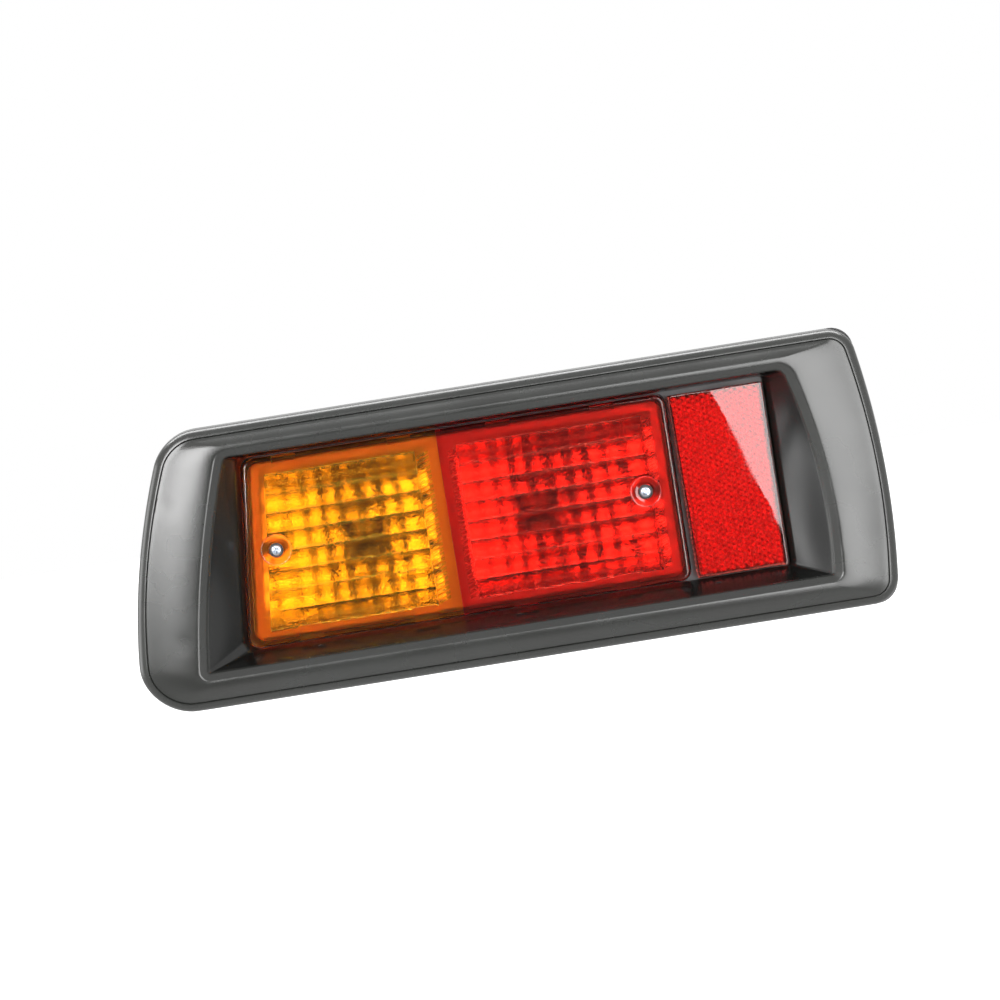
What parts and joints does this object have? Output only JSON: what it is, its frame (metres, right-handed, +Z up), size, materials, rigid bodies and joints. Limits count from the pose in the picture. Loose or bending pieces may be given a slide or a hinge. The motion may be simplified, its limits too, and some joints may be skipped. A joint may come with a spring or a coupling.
{
  "type": "trailer tail light",
  "caption": "Recessed trailer rear lamp: grey bezel, two-colour lens over an amber indicator and a red stop and tail lamp, and a red reflex reflector.",
  "frame": {"origin": "centre of the four mounting studs, on the plane of the panel that the lamp bolts to", "axes": "+X to the right as the lamp is seen from in front, from the amber lens towards the reflex reflector; +Z up; -Y the way the lenses face, so +Y points into the vehicle"},
  "size_m": [0.3808, 0.1, 0.139],
  "materials": {
    "bezel_plastic": "moulded, satin with a fine grain",
    "foam_rubber": "closed-cell foam",
    "zinc_steel": "zinc plated",
    "housing_plastic": "moulded",
    "amber_acrylic": "clear amber, polished",
    "red_acrylic": "clear red, polished",
    "seal_rubber": "moulded",
    "metallised_plastic": "vacuum metallised",
    "reflex_acrylic": "clear red over cube-corner prisms",
    "reflex_back": "moulded",
    "clear_glass": "clear",
    "brass": "pressed, bright",
    "lamp_wire": "drawn",
    "solder": "solder dome in a glass insulator",
    "holder_plastic": "glass-filled nylon",
    "contact_fibre": "fibre board with brass rivets",
    "spring_steel": "drawn",
    "terminal_brass": "tinned"
  },
  "bodies": {
    "root": {"bezel": "bezel_plastic", "bezel_gasket": "foam_rubber", "mounting_studs": "zinc_steel", "housing": "housing_plastic", "housing_gasket": "foam_rubber", "housing_screws": "zinc_steel", "lens_gasket": "seal_rubber", "amber_reflector": "metallised_plastic", "red_reflector": "metallised_plastic", "reflector_screws": "zinc_steel", "reflex_lens": "reflex_acrylic", "reflex_backing": "reflex_back", "reflex_pad": "foam_rubber", "breather_caps": "seal_rubber"},
    "lens": {"amber_lens": "amber_acrylic", "red_lens": "red_acrylic", "lens_screws": "zinc_steel", "lens_screw_seals": "seal_rubber"},
    "amber_bulb_holder": {"amber_holder": "holder_plastic", "amber_holder_seal": "seal_rubber", "amber_socket_shell": "zinc_steel", "amber_contact_spring": "spring_steel", "amber_terminals": "terminal_brass"},
    "stop_bulb_holder": {"stop_holder": "holder_plastic", "stop_holder_seal": "seal_rubber", "stop_socket_shell": "zinc_steel", "stop_contact_springs": "spring_steel", "stop_terminals": "terminal_brass"},
    "amber_bulb": {"amber_bulb_glass": "clear_glass", "amber_bulb_base": "brass", "amber_bulb_filament": "lamp_wire", "amber_bulb_tip": "solder"},
    "stop_bulb": {"stop_bulb_glass": "clear_glass", "stop_bulb_base": "brass", "stop_bulb_filaments": "lamp_wire", "stop_bulb_tips": "solder"},
    "amber_contact": {"amber_contact_plate": "contact_fibre"},
    "stop_contact": {"stop_contact_plate": "contact_fibre"}
  },
  "joints": [
    {"name": "lens_slide", "type": "slide", "parent": "root", "child": "lens", "axis": [0, -1, 0], "range_m": [0, 0.05]},
    {"name": "amber_holder_twist", "type": "hinge", "parent": "root", "child": "amber_bulb_holder", "pos_m": [-0.071, 0.05, 0.0033], "axis": [0, 1, 0], "range_deg": [0, 35]},
    {"name": "stop_holder_twist", "type": "hinge", "parent": "root", "child": "stop_bulb_holder", "pos_m": [0.018, 0.05, 0.0033], "axis": [0, 1, 0], "range_deg": [0, 35]},
    {"name": "amber_bulb_push", "type": "slide", "parent": "amber_bulb_holder", "child": "amber_bulb", "axis": [0, 1, 0], "range_m": [0, 0.0015], "stiffness_N_per_m": 1500, "springref_m": -0.004, "deforming": ["amber_contact_spring"]},
    {"name": "stop_bulb_push", "type": "slide", "parent": "stop_bulb_holder", "child": "stop_bulb", "axis": [0, 1, 0], "range_m": [0, 0.0015], "stiffness_N_per_m": 1500, "springref_m": -0.004, "deforming": ["stop_contact_springs"]},
    {"name": "amber_contact_travel", "type": "slide", "parent": "amber_bulb_holder", "child": "amber_contact", "axis": [0, 1, 0], "range_m": [0, 0.0015]},
    {"name": "stop_contact_travel", "type": "slide", "parent": "stop_bulb_holder", "child": "stop_contact", "axis": [0, 1, 0], "range_m": [0, 0.0015]}
  ],
  "couplings": [
    {"joint": "amber_contact_travel", "follows": "amber_bulb_push", "ratio": 1},
    {"joint": "stop_contact_travel", "follows": "stop_bulb_push", "ratio": 1}
  ]
}
